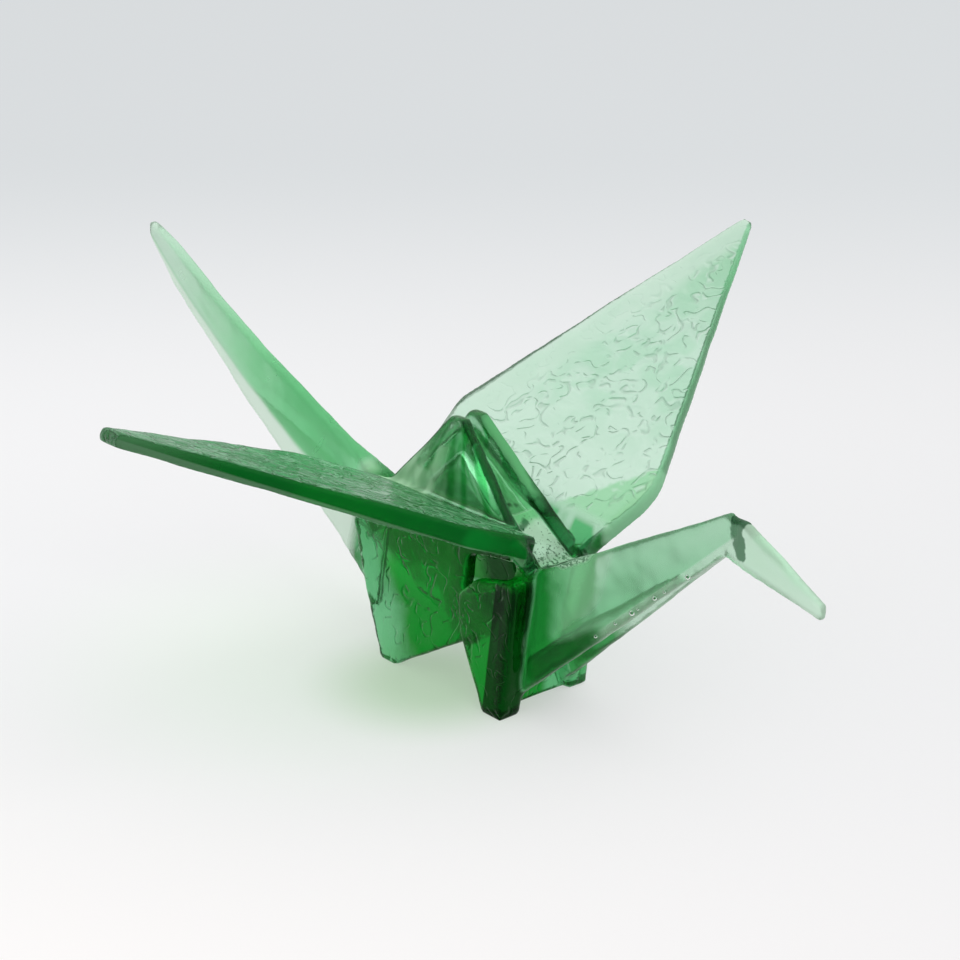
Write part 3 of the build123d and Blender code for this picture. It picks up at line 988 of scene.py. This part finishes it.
# %% [markdown]
# The bird stands on a pale studio floor. A curved backdrop would be in the way of a look from
# behind, so the floor is one large flat plane, which fills the picture from every side.

# %% Lay the floor
FLOOR_REACH = 6.0
FLOOR_CORNERS = ((-1, -1), (1, -1), (1, 1), (-1, 1))

floor_mesh = bpy.data.meshes.new("floor")
corners = [(x * FLOOR_REACH, y * FLOOR_REACH, 0) for x, y in FLOOR_CORNERS]
floor_mesh.from_pydata(corners, [], [(0, 1, 2, 3)])
floor = bpy.data.objects.new("floor", floor_mesh)
bpy.context.scene.collection.objects.link(floor)
print("floor of", 2 * FLOOR_REACH, "m")

# %% [markdown]
# The floor carries painted shade: it is cooler and greyer away from the camera and a little greyer to
# the right, where less light falls. An image would tie that to one view. Here it depends on the place
# on the floor, measured along the direction in which the camera looks, so the other views see the
# same sheet of paper.

# %% Colour the floor
CAMERA_PLACE = Vector((0.5104, -0.4281, 0.3180))
CAMERA_AIM = Vector((0.0096, 0.0045, 0.0552))
FLOOR_FRONT = (0.995, 0.965, 0.955, 1)
FLOOR_MIDDLE = (0.885, 0.885, 0.895, 1)
FLOOR_SHADE_RIGHT = (0.80, 0.80, 0.81, 1)
FLOOR_SHADE_FAR = (0.69, 0.715, 0.73, 1)
MIDDLE_BACK = (-0.25, 0.0)
RIGHT_REACH = (-0.20, 0.25)
RIGHT_SHARE = 0.75
GREY_BACK = (0.15, 0.60)

away = (CAMERA_AIM - CAMERA_PLACE).to_2d().normalized()
paper = Finish(bpy.data.materials.new("floor_paper"))
spot = paper.node("ShaderNodeTexCoord", out="Object")
floor_x = paper.node("ShaderNodeSeparateXYZ", sockets={"Vector": spot}, out="X")
floor_y = paper.node("ShaderNodeSeparateXYZ", sockets={"Vector": spot}, out="Y")
back = floor_x * away.x + floor_y * away.y
to_right = floor_x * away.y - floor_y * away.x
# Painted shade: the floor greys away from the camera and to the right.
tone = paper.blend(paper.ramp(back, *MIDDLE_BACK), FLOOR_FRONT, FLOOR_MIDDLE)
tone = paper.blend(paper.ramp(to_right, *RIGHT_REACH) * RIGHT_SHARE, tone, FLOOR_SHADE_RIGHT)
tone = paper.blend(paper.ramp(back, *GREY_BACK), tone, FLOOR_SHADE_FAR)
print("floor goes from", FLOOR_FRONT[:3], "to", FLOOR_SHADE_FAR[:3])

# %% [markdown]
# Light that has passed through green glass lies on the table as a green glow, and the renderer
# finds very little of it by itself. Two soft round spots of colour stand for it: a wide faint
# one out to the left and a small deeper one under the body. Each row is a spot's centre, the
# distances from it in millimetres at which the colour is full and gone, and the colour.

# %% Let green light fall on the floor
GREEN_SPOTS = (
    (Vector((-0.025, -0.03, 0)), 10, 105, (0.90, 0.95, 0.90, 1)),
    (Vector((0.014, -0.018, 0)), 8, 42, (0.62, 0.78, 0.60, 1)),
)

for centre, full, gone, green in GREEN_SPOTS:
    gap = paper.vector("DISTANCE", spot, centre, out="Value") * (1 / MM)
    tone = paper.blend(1 - paper.ramp(gap, full, gone), tone, green)
print(len(GREEN_SPOTS), "green spots on the floor")

# %% [markdown]
# White paper on a light table shines a little itself, so a share of its colour is given as
# light where the camera or the glass looks at it. The rest is plain diffuse, which keeps the
# soft shadow. Light Path tells which kind of ray is looking, and the three kinds add up.

# %% Let the floor shine a little
LIT_SHARE = 0.58
PAPER_ROUGHNESS = 0.9

matt = paper.node("ShaderNodeBsdfPrincipled", {}, {"Base Color": tone, "Roughness": PAPER_ROUGHNESS})
lit = paper.node("ShaderNodeEmission", {}, {"Color": tone, "Strength": 1.0})
looked_at = paper.node("ShaderNodeLightPath", out="Is Camera Ray")
mirrored = paper.node("ShaderNodeLightPath", out="Is Glossy Ray")
refracted = paper.node("ShaderNodeLightPath", out="Is Transmission Ray")
shining = (looked_at + mirrored + refracted) * LIT_SHARE
ground = paper.lay_over(shining, matt, lit)
paper.node("ShaderNodeOutputMaterial", {}, {"Surface": ground})
floor_mesh.materials.append(paper.owner)
floor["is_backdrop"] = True
print("floor laid, with a shine of", LIT_SHARE)

# %% [markdown]
# The light is soft and comes mostly from all round. A pale world does most of the work. It is
# dimmer near the horizon, as a room is beside a light tent: clear glass shows its folds only
# where there is something darker for them to bend.

# %% Light the bird from all round
WORLD_TOP = 1.0
WORLD_LOW = 0.55
DARK_BAND = (0.05, 0.75)

studio = Finish(bpy.data.worlds.new("studio"))
bpy.context.scene.world = studio.owner
look = studio.node("ShaderNodeTexCoord", out="Generated")
height = studio.node("ShaderNodeSeparateXYZ", sockets={"Vector": look}, out="Z")
glare = studio.ramp(height, *DARK_BAND) * (WORLD_TOP - WORLD_LOW) + WORLD_LOW
sky = studio.node("ShaderNodeBackground", {}, {"Color": WHITE, "Strength": glare})
studio.node("ShaderNodeOutputWorld", {}, {"Surface": sky})
print("world from", WORLD_LOW, "to", WORLD_TOP)

# %% [markdown]
# A broad lamp from above on the right does the rest and draws the shadow out to the left.
# Together the two give a plain level, at which a white sheet would just be white.

# %% Hang the lamp
LAMP_WIDTH = 1.5
LAMP_POWER = 6.5
LAMP_PLACE = Vector((0.75, 0.30, 1.25))

lamp_data = bpy.data.lights.new("softbox", "AREA")
lamp_data.shape = "DISK"
lamp_data.size = LAMP_WIDTH
lamp_data.energy = LAMP_POWER
lamp = bpy.data.objects.new("softbox", lamp_data)
lamp.location = LAMP_PLACE
lamp.rotation_euler = (-LAMP_PLACE).to_track_quat("-Z", "Y").to_euler()
bpy.context.scene.collection.objects.link(lamp)
print("lamp at", [round(v, 2) for v in LAMP_PLACE])

# %% [markdown]
# A long lens from a little above keeps the folds nearly parallel, as in the catalogue picture.
# The lens is given for a 36 mm wide sensor, so the frame is the same at any image size.

# %% Set the camera
LENS = 93.85
SENSOR_WIDTH = 36.0
CLIP_START = 0.01

camera_data = bpy.data.cameras.new("camera")
camera_data.lens = LENS
camera_data.sensor_width = SENSOR_WIDTH
camera_data.clip_start = CLIP_START
camera = bpy.data.objects.new("camera", camera_data)
camera.location = CAMERA_PLACE
camera.rotation_euler = (CAMERA_AIM - CAMERA_PLACE).to_track_quat("-Z", "Y").to_euler()
bpy.context.scene.collection.objects.link(camera)
bpy.context.scene.camera = camera
bpy.context.scene.view_settings.view_transform = "Standard"
print("camera with a lens of", LENS, "mm")

# %% [markdown]
# At the end the script says that the scene is built.

print("scene built")
